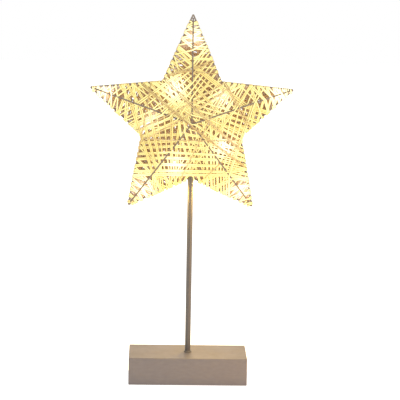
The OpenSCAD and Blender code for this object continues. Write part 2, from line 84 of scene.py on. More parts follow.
# The star's centre is the origin of all thread paths. Its tips are TIP_R away. The ridge wires
# run from just short of them to the hubs, one in front of the star's plane and one behind it.
ARMS = 5
ARM_ANGLE = 360.0 / ARMS
TIP_R = 106.0
RIDGE_END = TIP_R - 3.6
WIRE_R = (wire_high.y - wire_low.y) / 2 / MM
STAR_Z = wire_high.z / MM - WIRE_R - TIP_R
HUB_DEPTH = -ridge_low.y / MM - WIRE_R
# Each notch between two tips: its angle from straight up, and its distance from the centre
NOTCHES = ((36.0, 49.0), (106.0, 51.0), (180.0, 56.5), (254.0, 51.0), (324.0, 49.0))
LED_COUNT = 10
LED_SPOTS = [
    sum(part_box(f"led_{i}"), Vector()) / 2 / MM - Vector((0, 0, STAR_Z))
    for i in range(1, LED_COUNT + 1)
]


# ---------------------------------------------------------------- materials

# Most of a noise's values lie between these two
NOISE_LOW, NOISE_HIGH = 0.3, 0.7
# A surface's roughness wanders over patches that are this much larger than its colour's
ROUGHNESS_PATCH = 5


class Look:
    """A material with one Principled shader, and short ways to add nodes to it."""

    def __init__(self, name, roughness=0.5, metallic=0.0, **constants):
        self.material = bpy.data.materials.new(name)
        self.material.use_nodes = True
        self.tree = self.material.node_tree
        self.shader = self.tree.nodes["Principled BSDF"]
        self.set("Roughness", roughness)
        self.set("Metallic", metallic)
        for socket, value in constants.items():
            self.set(socket.replace("_", " "), value)

    def set(self, socket, value):
        """Sets a shader socket to a constant, or links a node's output to it."""
        target = self.shader.inputs[socket]
        if isinstance(value, bpy.types.NodeSocket):
            self.tree.links.new(value, target)
        elif hasattr(value, "__len__") and len(value) == 3:
            target.default_value = (*value, 1.0)
        else:
            target.default_value = value

    def node(self, kind, values=None, **settings):
        """Adds a node; values go to its inputs by name or number."""
        made = self.tree.nodes.new(kind)
        for key, value in settings.items():
            setattr(made, key, value)
        for key, value in (values or {}).items():
            if isinstance(value, bpy.types.NodeSocket):
                self.tree.links.new(value, made.inputs[key])
            else:
                made.inputs[key].default_value = value
        return made

    def place(self, scale=(1, 1, 1)):
        """The object's own coordinates in metres, stretched by scale."""
        coords = self.node("ShaderNodeTexCoord").outputs["Object"]
        return self.node("ShaderNodeMapping", {"Vector": coords, "Scale": scale}).outputs[0]

    def axis(self, letter):
        """One of the object's own coordinates, in metres."""
        split = self.node("ShaderNodeSeparateXYZ", {0: self.place()})
        return split.outputs["XYZ".index(letter)]

    def share_along(self, node_name, letter):
        """How far along a CAD node's box a point lies, from 0 to 1."""
        side = "XYZ".index(letter)
        low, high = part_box(node_name)
        values = {0: self.axis(letter), 1: low[side], 2: high[side]}
        return self.node("ShaderNodeMapRange", values).outputs[0]

    def noise(self, scale, stretch=(1, 1, 1)):
        """A cloudy pattern from 0 to 1; a larger scale is finer."""
        return self.node(
            "ShaderNodeTexNoise",
            {"Vector": self.place(stretch), "Scale": scale, "Detail": 3.0},
        ).outputs["Fac"]

    def wave(self, vector, scale, way, distortion=0.0):
        """Parallel bands from 0 to 1."""
        return self.node(
            "ShaderNodeTexWave",
            {"Vector": vector, "Scale": scale, "Distortion": distortion},
            bands_direction=way,
        ).outputs["Fac"]

    def ramp(self, factor, *stops, interpolation="LINEAR"):
        """A ramp of (position, colour) stops; a colour may be one number, for grey."""
        made = self.node("ShaderNodeValToRGB", {"Fac": factor})
        made.color_ramp.interpolation = interpolation
        elements = made.color_ramp.elements
        while len(elements) > 1:
            elements.remove(elements[0])
        for i, (position, color) in enumerate(stops):
            element = elements[0] if i == 0 else elements.new(position)
            element.position = position
            element.color = (*color, 1.0) if hasattr(color, "__len__") else (color,) * 3 + (1.0,)
        return made.outputs["Color"]

    def wander(self, noise, low, high):
        """Follows a noise from one colour or number to another."""
        return self.ramp(noise, (NOISE_LOW, low), (NOISE_HIGH, high))

    def math(self, operation, *values):
        return self.node(
            "ShaderNodeMath", dict(enumerate(values)), operation=operation
        ).outputs[0]

    def mix(self, factor, a, b, blend="MIX"):
        made = self.node(
            "ShaderNodeMix", {0: factor, 6: a, 7: b}, data_type="RGBA", blend_type=blend
        )
        return made.outputs[2]

    def bump(self, height, distance, strength=0.6):
        """Links a bump of that height in metres to the shader's normal."""
        values = {"Height": height, "Distance": distance, "Strength": strength}
        self.set("Normal", self.node("ShaderNodeBump", values).outputs[0])


def grainy(name, dark, light, scale, roughness, bump=0.0, stretch=(1, 1, 1), **constants):
    """A surface that wanders between two colours, with a matching fine bump."""
    look = Look(name, **constants)
    look.set("Base Color", look.wander(look.noise(scale, stretch), dark, light))
    look.set("Roughness", look.wander(look.noise(scale / ROUGHNESS_PATCH), *roughness))
    if bump:
        look.bump(look.noise(scale * 2, stretch), bump)
    return look


def cell_look():
    """A dry cell: a plain grey-green film with one pale ring, and bare metal ends."""
    film_start, ring_start, ring_end, film_end = 0.03, 0.84, 0.88, 0.955
    metal, film, ring = (0.55, 0.54, 0.5), (0.11, 0.17, 0.16), (0.58, 0.58, 0.54)
    look = Look("dry_cell")
    share = look.share_along("aa_cell_1", "X")
    bands = look.ramp(
        share,
        (0.0, metal),
        (film_start, film),
        (ring_start, ring),
        (ring_end, film),
        (film_end, metal),
        interpolation="CONSTANT",
    )
    scuff = look.wander(look.noise(260.0, (0.2, 1, 1)), 0.85, 1.0)
    look.set("Base Color", look.mix(1.0, bands, scuff, "MULTIPLY"))
    gloss = look.ramp(
        share, (0.0, 1.0), (film_start, 0.35), (film_end, 1.0), interpolation="CONSTANT"
    )
    look.set("Metallic", gloss)
    look.set("Roughness", look.wander(look.noise(90.0), 0.26, 0.4))
    return look


def board_look():
    """Green laminate with paler tracks running both ways, drawn by two bent wave patterns."""
    look = Look("board_laminate", roughness=0.38)
    wobble = look.node("ShaderNodeTexNoise", {"Vector": look.place(), "Scale": 70.0})
    bent = look.mix(0.035, look.place(), wobble.outputs["Color"], "ADD")
    tracks = [
        look.ramp(look.wave(bent, 55.0, way), (0.8, 0.0), (0.84, 1.0)) for way in ("X", "Y")
    ]
    copper = look.mix(1.0, *tracks, "LIGHTEN")
    base = look.wander(look.noise(900.0), (0.012, 0.085, 0.03), (0.018, 0.12, 0.045))
    look.set("Base Color", look.mix(copper, base, (0.05, 0.23, 0.07, 1.0)))
    look.bump(copper, 0.00004)
    return look


def resistor_look():
    """A beige body with four generic colour bands, between bare wires."""
    body, wire = (0.56, 0.4, 0.2), (0.6, 0.6, 0.6)
    body_start, body_end, band_width = 0.32, 0.7, 0.03
    look = Look("resistor_body", roughness=0.35)
    low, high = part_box("dropping_resistor")
    long_axis = max(range(3), key=lambda i: (high - low)[i])
    share = look.share_along("dropping_resistor", "XYZ"[long_axis])
    stops = [(0.0, wire), (body_start, body)]
    for position, band in (
        (0.38, (0.1, 0.03, 0.01)),
        (0.46, (0.02, 0.02, 0.02)),
        (0.54, (0.1, 0.03, 0.01)),
        (0.63, (0.5, 0.3, 0.04)),
    ):
        stops += [(position, band), (position + band_width, body)]
    stops.append((body_end, wire))
    bands = look.ramp(share, *stops, interpolation="CONSTANT")
    shade = look.wander(look.noise(500.0), 0.9, 1.0)
    look.set("Base Color", look.mix(1.0, bands, shade, "MULTIPLY"))
    return look


def led_look():
    """Clear epoxy lit by the die inside it, mottled from amber to pale yellow."""
    look = Look("led_epoxy", roughness=0.12, IOR=1.5)
    mottle = look.noise(600.0)
    look.set("Base Color", look.wander(mottle, (0.95, 0.72, 0.36), (1.0, 0.86, 0.6)))
    look.set("Emission Color", look.wander(mottle, (1.0, 0.66, 0.26), (1.0, 0.82, 0.5)))
    look.set("Emission Strength", 3.2)
    return look


def thread_look():
    """Paper thread lit from inside the star by painted light: its emission stands in for the LEDs'
    light shining through it, and its darker sides, inner faces and last runs are painted shade.

    The mesh's point attribute that this reads holds, for each point: how far it faces outward
    (0..1), which sets its painted shade; how near it is to an LED, which sets its painted glow;
    the strand's own tone; and how late the strand was wound, which paints the last runs tan and
    dim as shade.
    """
    fibre_swing = 0.16
    # dim_light and led_light set the painted glow away from an LED and beside one; late_loss is
    # how much of it the last runs lose, as painted shade
    dim_light, led_light = 0.42, 1.1
    late_loss = 0.8
    look = Look("paper_thread", roughness=0.72)
    light_and_tone = look.node("ShaderNodeAttribute", attribute_name="light_and_tone")
    parts = look.node("ShaderNodeSeparateColor", {0: light_and_tone.outputs["Color"]})
    outward, glow, tone = parts.outputs
    late = light_and_tone.outputs["Alpha"]
    uneven = look.math("MULTIPLY_ADD", look.noise(1400.0), fibre_swing, -fibre_swing / 2)
    facing = look.math("ADD", outward, uneven)
    # Painted shade: the paper is pale where the thread faces outward, painted tan at its sides and
    # brown on its inner side, in place of how light from inside shows through a round thread
    paper = look.ramp(
        facing,
        (0.30, (0.80, 0.64, 0.46)),
        (0.52, (0.65, 0.48, 0.27)),
        (0.68, (0.61, 0.43, 0.15)),
        (0.86, (0.71, 0.62, 0.26)),
        (1.0, (0.74, 0.70, 0.34)),
    )
    # Painted shade of the last runs, furthest from the LEDs: the same by facing, but darker tan
    tan = look.ramp(
        facing,
        (0.30, (0.43, 0.31, 0.18)),
        (0.62, (0.48, 0.33, 0.16)),
        (1.0, (0.62, 0.47, 0.22)),
    )
    colour = look.mix(late, paper, tan)
    dye = look.ramp(
        tone, (0.0, (0.86, 0.80, 0.66)), (0.5, (1.0, 0.98, 0.92)), (1.0, (1.0, 1.0, 1.0))
    )
    look.set("Base Color", look.mix(1.0, colour, dye, "MULTIPLY"))
    # Painted light: the thread's emission stands in for the LEDs' light shining through it, yellow
    # away from them and nearly white beside them
    painted_glow_colour = look.ramp(
        glow,
        (0.0, (0.93, 0.78, 0.28)),
        (0.35, (0.96, 0.86, 0.46)),
        (1.0, (1.0, 0.97, 0.82)),
    )
    look.set("Emission Color", look.mix(1.0, painted_glow_colour, dye, "MULTIPLY"))
    # Painted shade: the glow is strongest on the outward side and fades at the sides and on the
    # inner side; beside an LED every side glows
    outer_side = look.ramp(facing, (0.48, 0.0), (0.72, 0.32), (0.95, 1.0))
    beside_led = look.ramp(glow, (0.55, 0.0), (1.0, 0.3))
    lit_side = look.math("MAXIMUM", outer_side, beside_led)
    near = look.math("MULTIPLY_ADD", glow, led_light, dim_light)
    # Painted shade: the last runs glow less
    painted_late_shade = look.math("MULTIPLY_ADD", late, -late_loss, 1.0)
    strength = look.math("MULTIPLY", look.math("MULTIPLY", lit_side, near), painted_late_shade)
    look.set("Emission Strength", strength)
    twist = look.wave(look.node("ShaderNodeUVMap").outputs[0], 1.6, "DIAGONAL", distortion=1.2)
    look.bump(twist, 0.00012, 0.5)
    return look


# Each plain surface: its two colours, the fineness of its grain, its roughness, and its bump
PAINT = grainy(
    "base_paint", (0.126, 0.110, 0.108), (0.144, 0.126, 0.124), 160.0, (0.42, 0.55), 0.00003,
    stretch=(1, 1, 2.5),
)
POLE = grainy(
    "pole_paint", (0.086, 0.076, 0.067), (0.096, 0.085, 0.075), 260.0, (0.38, 0.44), 0.000004,
    stretch=(1, 1, 0.1),
)
WIRE = grainy(
    "frame_wire", (0.175, 0.136, 0.104), (0.235, 0.184, 0.142), 700.0, (0.4, 0.55), 0.00003,
    metallic=0.3,
)
OUTLINE = grainy(
    "outline_wire", (0.22, 0.175, 0.130), (0.29, 0.230, 0.172), 700.0, (0.4, 0.55), 0.00003,
    metallic=0.3,
)
COVER = grainy(
    "cover_plastic", (0.05, 0.044, 0.04), (0.07, 0.062, 0.056), 900.0, (0.55, 0.7), 0.00006
)
HOLDER = grainy(
    "holder_plastic", (0.014, 0.014, 0.015), (0.03, 0.03, 0.031), 700.0, (0.45, 0.6), 0.00004
)
KNOB = grainy(
    "knob_plastic", (0.012, 0.012, 0.012), (0.03, 0.03, 0.03), 800.0, (0.35, 0.5), 0.00004
)
STEEL = grainy(
    "screw_steel", (0.5, 0.5, 0.49), (0.68, 0.68, 0.67), 1200.0, (0.22, 0.38), 0.00002,
    metallic=1.0,
)
NICKEL = grainy(
    "contact_nickel", (0.55, 0.52, 0.45), (0.68, 0.65, 0.58), 900.0, (0.25, 0.4), 0.00002,
    metallic=1.0,
)
RED = grainy("lead_red", (0.36, 0.012, 0.008), (0.5, 0.02, 0.012), 900.0, (0.36, 0.5), 0.00002)
AMBER = grainy("lead_clear", (0.66, 0.40, 0.12), (0.78, 0.50, 0.17), 900.0, (0.25, 0.35), 0.00002)
BLACK = grainy(
    "lead_black", (0.012, 0.012, 0.012), (0.03, 0.03, 0.03), 900.0, (0.36, 0.5), 0.00002
)
CELL = cell_look()
LED = led_look()
THREAD = thread_look()

LOOKS = {
    "base_shell": PAINT,
    "bottom_cover": COVER,
    "battery_door": COVER,
    "battery_holder": HOLDER,
    "switch_body": HOLDER,
    "switch_knob": KNOB,
    "circuit_board": board_look(),
    "dropping_resistor": resistor_look(),
    "battery_lead_red": RED,
    "battery_lead_black": BLACK,
    "switch_leads": RED,
    "lamp_lead_plus": AMBER,
    "lamp_lead_minus": AMBER,
    "pole": POLE,
    "pole_collar": POLE,
    "star_sleeve": POLE,
    "outline_wire": OUTLINE,
    "front_ridge_wires": WIRE,
    "back_ridge_wires": WIRE,
    "thread_winding": THREAD,
}


def look_of(name):
    """The look of a CAD node."""
    if name in LOOKS:
        return LOOKS[name]
    if name.startswith("aa_cell"):
        return CELL
    if name.startswith("led_"):
        return LED
    if "contact" in name or "bridge" in name:
        return NICKEL
    return STEEL


for name, node in frame["nodes"].items():
    for material_slot in node.material_slots:
        material_slot.material = look_of(name).material


# ---------------------------------------------------------------- the star's outline


def polar(angle, radius):
    """A point of the star's plane: angle in degrees from straight up, clockwise from the front."""
    a = math.radians(angle)
    return np.array((radius * math.sin(a), radius * math.cos(a)))


corners = []
for i, (notch_angle, notch_r) in enumerate(NOTCHES):
    corners += [polar(ARM_ANGLE * i, TIP_R), polar(notch_angle, notch_r)]
corners = np.array(corners)
CORNERS = len(corners)
edges = np.roll(corners, -1, axis=0) - corners
edge_lengths = np.hypot(edges[:, 0], edges[:, 1])
# A mark is a distance along the outline, clockwise from the top tip
corner_marks = np.concatenate(([0.0], np.cumsum(edge_lengths)))
PERIMETER = corner_marks[-1]
TIP_MARKS = corner_marks[0:CORNERS:2]
NOTCH_MARKS = corner_marks[1:CORNERS:2]
# A chord is tested for leaving the star at this many places, between these shares of its length
CHORD_TESTS = 24
CHORD_TEST_SPAN = (0.04, 0.96)
TINY = 1e-6


def outline_at(mark):
    """The point at a mark of the outline, and the outward normal there."""
    mark %= PERIMETER
    i = min(int(np.searchsorted(corner_marks, mark, side="right")) - 1, CORNERS - 1)
    along = edges[i] / edge_lengths[i]
    point = corners[i] + along * (mark - corner_marks[i])
    return point, np.array((-along[1], along[0]))


def notch_mark(notch, offset):
    """An outline mark at a distance from a notch, clockwise; notch 0 is the upper right one."""
    return NOTCH_MARKS[notch] + offset


def inside(points, slack=0.0):
    """Which points lie in the star, or within slack of it, measured square to its outline."""
    angles = np.degrees(np.arctan2(points[:, 0], points[:, 1])) % 360.0
    corner_angles = np.degrees(np.arctan2(corners[:, 0], corners[:, 1])) % 360.0
    sector = np.clip(np.searchsorted(corner_angles, angles, side="right") - 1, 0, CORNERS - 1)
    a, e = corners[sector], edges[sector]
    normal = np.stack((-e[:, 1], e[:, 0]), axis=1) / edge_lengths[sector][:, None]
    return ((points - a) * normal).sum(1) <= slack


def chord_fits(mark_a, mark_b, slack):
    """True if the straight thread between two outline points stays over the star."""
    a, b = outline_at(mark_a)[0], outline_at(mark_b)[0]
    steps = np.linspace(*CHORD_TEST_SPAN, CHORD_TESTS)[:, None]
    return bool(inside(a + (b - a) * steps, slack).all())


def ray_mark(point, angle):
    """The outline mark where a ray from a point inside the star leaves it."""
    way = polar(angle, 1.0)
    best = None
    for corner, edge, mark, length in zip(corners, edges, corner_marks, edge_lengths):
        cross = way[0] * edge[1] - way[1] * edge[0]
        if abs(cross) < TINY:
            continue
        off = corner - point
        distance = (off[0] * edge[1] - off[1] * edge[0]) / cross
        share = (off[0] * way[1] - off[1] * way[0]) / cross
        if distance > TINY and 0.0 <= share <= 1.0 and (best is None or distance < best[0]):
            best = (distance, mark + share * length)
    return best[1]


# ---------------------------------------------------------------- how a thread lies

# The thread is an oval tube: half its width and height, and how finely it is meshed
HALF_WIDTH = 0.74
HALF_HEIGHT = 0.52
RING_STEP = 3.0
SIDES = 8
TURN_STEPS = 6
# A bound leg is tied in this far under the middle of the ridge wires; this share of the legs is
BOUND_DROP = 0.45
BOUND_SHARE = 0.85
# How far the thread's middle is from the middle of the outline wire, beside the wire's own radius:
# a share of the thread's half height, and a share of the layer's lift
TURN_CLEARANCE = 0.7
TURN_LIFT_SHARE = 0.25
# The height of a thread's ends where it isn't turned round the wire
UNTURNED_FOOT = 0.2
# How far a draped thread's middle is over what it lies on, in half heights
DRAPE_CLEARANCE = 1.2
# A leg bends at a ridge only if the sine of the angle between them is more than this, and if they
# meet further than this from the leg's ends
SHALLOWEST_CROSS = 0.2
SHORTEST_RUN = 1.2
# A leg slides less if it is shorter than this, or nearer than this to the ridge's end, and it
# keeps at least this share of its distance from the star's middle
SLIDE_FADE = 34.0
LEAST_RADIUS_KEPT = 0.3
RIDGE_WAYS = [polar(ARM_ANGLE * i, 1.0) for i in range(ARMS)]


def upper_hull(points):
    """The taut line over a set of (distance, height) points, sorted by distance."""
    hull = []
    for p in points:
        while len(hull) > 1:
            (x1, y1), (x2, y2) = hull[-2], hull[-1]
            if (x2 - x1) * (p[1] - y1) >= (y2 - y1) * (p[0] - x1):
                hull.pop()
            else:
                break
        hull.append(p)
    return hull


def ridge_post(ridge, radius):
    """A place on a ridge wire: its point in the star's plane, and the wire's height there."""
    return RIDGE_WAYS[ridge % ARMS] * radius, HUB_DEPTH * (1.0 - radius / RIDGE_END)


def straight_posts(a, b, slides):
    """Where a run from a to b crosses the ridges; slides says how far it has slid along each."""
    span = b - a
    length = math.hypot(*span)
    way = span / length
    posts = []
    for ridge, slide in enumerate(slides):
        along = RIDGE_WAYS[ridge]
        cross = way[0] * along[1] - way[1] * along[0]
        if abs(cross) < SHALLOWEST_CROSS:
            continue
        at = (along[0] * a[1] - along[1] * a[0]) / cross
        radius = float((a + way * at) @ along)
        if SHORTEST_RUN < at < length - SHORTEST_RUN and 0.0 < radius < RIDGE_END:
            fade = min(1.0, (RIDGE_END - radius) / SLIDE_FADE, length / SLIDE_FADE) * cross**2
            slid = max(radius + slide * fade, LEAST_RADIUS_KEPT * radius)
            posts.append((at, *ridge_post(ridge, slid)))
    posts.sort(key=lambda post: post[0])
    hull = upper_hull([(0.0, 0.0)] + [(post[0], post[2]) for post in posts] + [(length, 0.0)])
    return [post[1:] for post in posts if any(post[0] == mark for mark, _ in hull)]


# The height of what is wound so far over the star's plane, in cells 1 mm wide, for each side
FIELD_MARGIN = 8
FIELD_SIDE = int(2 * TIP_R) + FIELD_MARGIN
wound_height = {side: np.zeros((FIELD_SIDE, FIELD_SIDE)) for side in (-1, 1)}
# How closely a laid run is noted there, and a draped run is tested against it
NOTE_STEP = 0.7
DRAPE_STEP = 1.5


def field_cells(x, z):
    """The cells of the wound height at points of the star's plane."""
    return tuple(
        np.clip((value + FIELD_SIDE / 2).astype(int), 0, FIELD_SIDE - 1) for value in (x, z)
    )


def note_height(points, side):
    """Raises the wound height along a run that has been laid."""
    for start, stop in zip(points, points[1:]):
        count = max(2, int(np.linalg.norm(stop - start) / NOTE_STEP))
        laid = start + (stop - start) * np.linspace(0.0, 1.0, count)[:, None]
        across = np.array((stop[2] - start[2], 0.0, start[0] - stop[0]))
        across *= HALF_WIDTH / max(TINY, np.linalg.norm(across))
        for shift in (-1.0, 0.0, 1.0):
            at = laid + across * shift
            np.maximum.at(wound_height[side], field_cells(at[:, 0], at[:, 2]), side * at[:, 1])


def draped_posts(a, b, side):
    """The taut line from a to b over everything wound so far on that side."""
    length = math.hypot(*(b - a))
    marks = np.linspace(0.0, length, int(length / DRAPE_STEP))[1:-1]
    spots = a + np.outer(marks / length, b - a)
    heights = wound_height[side][field_cells(spots[:, 0], spots[:, 1])]
    hull = upper_hull([(0.0, 0.0), *zip(marks, heights), (length, 0.0)])
    return [(a + (b - a) * mark / length, height) for mark, height in hull[1:-1]]


def run(a, posts, b, side, clear, foot):
    """Points and outward directions of one run of thread from a to b over posts.

    side is -1 for the front and 1 for the back; clear is how far the thread's middle is
    outside each post, and foot is its height at both ends.
    """
    stops = [(a[0], side * foot, a[1])]
    stops += [(point[0], side * (height + clear), point[1]) for point, height in posts]
    stops.append((b[0], side * foot, b[1]))
    stops = np.array(stops)
    points = []
    for start, stop in zip(stops, stops[1:]):
        steps = max(1, round(np.linalg.norm(stop - start) / RING_STEP))
        points += [start + (stop - start) * i / steps for i in range(steps)]
    points.append(stops[-1])
    points = np.array(points)
    note_height(points, side)
    return points, np.tile((0.0, float(side), 0.0), (len(points), 1))


def turn(mark, side, reach, way_out):
    """The half turn round the outline wire from one side of the star to the other."""
    centre, normal = outline_at(mark)
    middle = np.array((centre[0], 0.0, centre[1]))
    points, ups = [], []
    for i in range(1, TURN_STEPS):
        angle = math.pi * i / TURN_STEPS
        out = math.sin(angle)
        up = np.array((normal[0] * out, side * math.cos(angle), normal[1] * out))
        points.append(middle + up * reach)
        ups.append(up)
    if way_out:
        return np.array(points), np.array(ups)
    return np.array(points[::-1]), np.array(ups[::-1])


def legs_between(marks, slide):
    """Straight legs through outline marks, sliding a little on the ridges of each side."""
    slides = [[rng.uniform(-slide, slide) for _ in RIDGE_WAYS] for _ in range(2)]
    legs = []
    for i, (start, stop) in enumerate(zip(marks, marks[1:])):
        ends = outline_at(start)[0], outline_at(stop)[0]
        legs.append((start, straight_posts(*ends, slides[i % 2]), stop))
    return legs


def wind(legs, lift, side=-1, late=0.0, scale=1.0, shade=1.0, turned=True):
    """One length of thread along its legs, changing side after each.

    A bound leg is tied in just under the ridge wires' own height, so that they stay visible;
    a free leg passes over them. A leg without posts drapes over what was wound before.
    lift is how far its layer lies outside the frame. late, scale and shade are for its mesh: how
    far it is painted tan and dim as shade, how thick it is, and how much of the painted light
    reaches it.
    A thread that isn't turned ends at the outline instead of going round the wire.
    """
    foot = UNTURNED_FOOT
    if turned:
        foot = WIRE_R + HALF_HEIGHT * TURN_CLEARANCE + max(lift, 0.0) * TURN_LIFT_SHARE
    runs = [turn(legs[0][0], side, foot, way_out=False)] if turned else []
    for start, posts, stop in legs:
        a, b = outline_at(start)[0], outline_at(stop)[0]
        clear = -BOUND_DROP if rng.random() < BOUND_SHARE else foot + lift
        if posts is None:
            posts, clear = draped_posts(a, b, side), HALF_HEIGHT * DRAPE_CLEARANCE
        runs.append(run(a, posts, b, side, clear, foot))
        if turned:
            runs.append(turn(stop, side, foot, way_out=True))
        side = -side
    return {
        "points": np.concatenate([r[0] for r in runs]),
        "ups": np.concatenate([r[1] for r in runs]),
        "tone": rng.random(),
        "late": late,
        "scale": scale,
        "shade": shade,
    }


# ---------------------------------------------------------------- winding plan

# Neighbouring runs lie in touching groups of one or two, this far apart, with a gap that varies by
# this much after each group
TOUCHING = 1.5
GROUPS = (1, 1, 2, 2, 2)
GAP_SPREAD = (0.75, 1.3)
lining, first_layer, second_layer, last_runs = [], [], [], []


def spaced(width, gap, groups=GROUPS, far_gap=None):
    """Offsets of the runs of one band; the gaps grow from gap to far_gap along it."""
    growth = (far_gap or gap) - gap
    offsets, at = [], 0.0
    while at < width:
        for _ in range(rng.choice(groups)):
            offsets.append(at)
            at += TOUCHING
        at += (gap + growth * at / width - TOUCHING) * rng.uniform(*GAP_SPREAD)
    return offsets


# The arms: how far from the tip each winding starts and how far it reaches along the outline, the
# gaps at the tip and at the body, and how much the runs slant across the ridge
ARM_START = (6.5, 2.4, 3.0, 3.4, 2.4)
ARM_REACH = 62.0
ARM_GAP = 3.9
ARM_FAR_GAP = 8.0
ARM_LEAN = (0.30, 0.5)
ARM_JITTER = 0.7
ARM_SLIDE = 7.0
ARM_CROSSING_LIFT = 0.4


def wind_arm(arm, lean, lift):
    """Winds one arm from its tip towards the body; lean slants the runs across the ridge."""
    tip = TIP_MARKS[arm]
    slant = 1.0 + abs(lean)
    start = ARM_START[arm] + rng.uniform(0.0, 1.0)
    marks = []
    for offset in spaced(ARM_REACH / slant - start, ARM_GAP, far_gap=ARM_FAR_GAP):
        short = start + offset
        long = short * slant + rng.uniform(-ARM_JITTER, ARM_JITTER)
        left, right = (short, long) if lean > 0 else (long, short)
        marks += [tip - left, tip + right]
    first_layer.append(wind(legs_between(marks, ARM_SLIDE), lift))


for arm in range(ARMS):
    wind_arm(arm, rng.uniform(*ARM_LEAN), 0.0)
    wind_arm(arm, -rng.uniform(*ARM_LEAN), ARM_CROSSING_LIFT)

# The body, one sector between two ridges after the other: where the runs start and stop from the
# hub, how far apart they are, and how much they slope
SECTOR_ORDER = (2, 4, 1, 3, 0)
SECTOR_START = 10.0
SECTOR_REACH = (47.6, 52.6, 53.0, 52.6, 47.6)
SECTOR_GAPS = (4.9, 4.5, 4.8, 5.2, 5.3)
SECTOR_SKEW = (6.0, -7.0, 1.5, 7.0, -6.5)
SECTOR_SWING = 11.0
SECTOR_LIFT = 0.3
LIFT_STEP = 0.1
CLEAR_OF_LAST = 2.5


def wind_sector(sector, lift):
    """Winds the body across one sector between two ridges, from the hub outward.

    Each run crosses the sector squarely, bends at both ridges, and goes on towards the
    outline beside the middle lines of the next two notches, so that every sector gets a
    lattice of squares. Every other run goes back behind the star, half a thread further out.
    """
    swings = [
        (rng.uniform(-SECTOR_SWING, SECTOR_SWING), rng.uniform(-SECTOR_SWING, SECTOR_SWING))
        for _ in range(2)
    ]
    half_angle = ARM_ANGLE / 2
    middle_angle = ARM_ANGLE * sector + half_angle
    reach = SECTOR_REACH[sector] - SECTOR_START
    offsets = [o for o in spaced(reach, SECTOR_GAPS[sector]) if o < reach - CLEAR_OF_LAST]
    legs, start = [], None
    for offset in (*offsets, reach - TOUCHING, reach):
        lean = SECTOR_SKEW[sector] * (1.0 - (offset / reach) ** 2)
        for half, swing in zip((0.0, 0.5), swings):
            radius = (SECTOR_START + offset + half * TOUCHING) / math.cos(math.radians(half_angle))
            posts = [ridge_post(sector, radius + lean), ridge_post(sector + 1, radius - lean)]
            near = ray_mark(posts[0][0], middle_angle - ARM_ANGLE + swing[0])
            far = ray_mark(posts[1][0], middle_angle + ARM_ANGLE + swing[1])
            if half:
                posts.reverse()
                near, far = far, near
            legs.append((near if start is None else start, posts, far))
            start = far
    second_layer.append(wind(legs, lift))


for sector in SECTOR_ORDER:
    wind_sector(sector, SECTOR_LIFT + LIFT_STEP * sector)

# Bands over the hub, which the sectors' own runs leave open: (notch, offset) to (notch, offset)
# of the first run, the band's width where it starts, and how many times that it is at its end
HUB_BANDS = (
    ((3, -2.0), (0, 22.0), 24.0, 1.0),
    ((4, -30.0), (1, 26.0), 26.0, 1.0),
    ((4, 6.0), (2, -2.0), 24.0, 1.1),
    ((2, 6.0), (0, 30.0), 26.0, 1.0),
    ((1, -22.0), (4, 2.0), 22.0, 1.0),
)
HUB_GAP = 6.4
HUB_GROUPS = (2, 1)
HUB_JITTER = 0.3
HUB_SLIDE = 5.0
HUB_LIFT = 0.5
for order, (start, stop, width, fan) in enumerate(HUB_BANDS):
    a, b = notch_mark(*start), notch_mark(*stop)
    marks = []
    for offset in spaced(width, HUB_GAP, HUB_GROUPS):
        marks.append(a + offset + rng.uniform(-HUB_JITTER, HUB_JITTER))
        marks.append(b - offset * fan + rng.uniform(-HUB_JITTER, HUB_JITTER))
    second_layer.append(wind(legs_between(marks, HUB_SLIDE), HUB_LIFT + LIFT_STEP * order))

# The last runs, thinner, drape over the rest, painted tan and dim as shade of the outermost
# strands, furthest from the LEDs: (notch, offset) to (notch, offset). Every third one is a doubled
# run, which goes over, back behind the star and over again.
LAST_RUNS = (
    ((4, 3.0), (1, 16.0)),
    ((3, -2.0), (1, 2.0)),
    ((1, 4.0), (2, -10.0)),
    ((4, 6.0), (0, -22.0)),
    ((4, 15.0), (0, -10.0)),
    ((3, -6.0), (0, 12.0)),
    ((4, -22.0), (1, 32.0)),
    ((0, 4.0), (2, 14.0)),
    ((4, -12.0), (3, -26.0)),
    ((1, -14.0), (0, 5.0)),
    ((0, 2.0), (3, 8.0)),
)
LAST_SCALE = 0.66
DOUBLED_EVERY = 3
DOUBLED_STEP = 2.0
for order, (start, stop) in enumerate(LAST_RUNS):
    a, b = notch_mark(*start), notch_mark(*stop)
    legs = [(a, None, b)]
    if order % DOUBLED_EVERY == 0:
        legs.append((b, None, a + DOUBLED_STEP))
        legs.append((a + DOUBLED_STEP, None, b - DOUBLED_STEP))
    last_runs.append(wind(legs, 0.0, late=1.0, scale=LAST_SCALE))


# ---------------------------------------------------------------- the lining

# The first turns, wound closely over the back. Their faces are painted dim and tan-brown, painted
# shade for where the light doesn't reach, so the front's gaps show dark. They are chosen last:
# bands are drawn at random, and each one kept covers the most dots that are still open.
DOT_COUNT = 9000
dots = np.random.default_rng(SEED).uniform(-TIP_R, TIP_R, (DOT_COUNT, 2))
dots = dots[inside(dots)]
LINING_GAP = 2.0
LINING_REACH = 66.0
LINING_SLANT = 1.04
LINING_LIFT = -0.5
LINING_SLIDE = 2.0
# The lining's faces count as facing outward only this far: painted shade, tan-brown and barely lit
LINING_SHADE = 0.66
BAND_WIDTHS = (14.0, 34.0)
BAND_FAN = 2.0
BAND_JITTER = 0.25
BANDS_DRAWN = 1500
BANDS_KEPT = 30
SHORTEST_CHORD = 40.0
FEWEST_CHORDS = 4
FEWEST_DOTS = 12
OVERLAP_COST = 0.25
# No band ends nearer a tip than this. It may pass this far outside a notch when it is drawn, and
# the first and last chord of one that is kept stay this far inside.
TIP_MARGIN = 15.0
NOTCH_SLACK = 2.0
NOTCH_CLEARANCE = 0.5


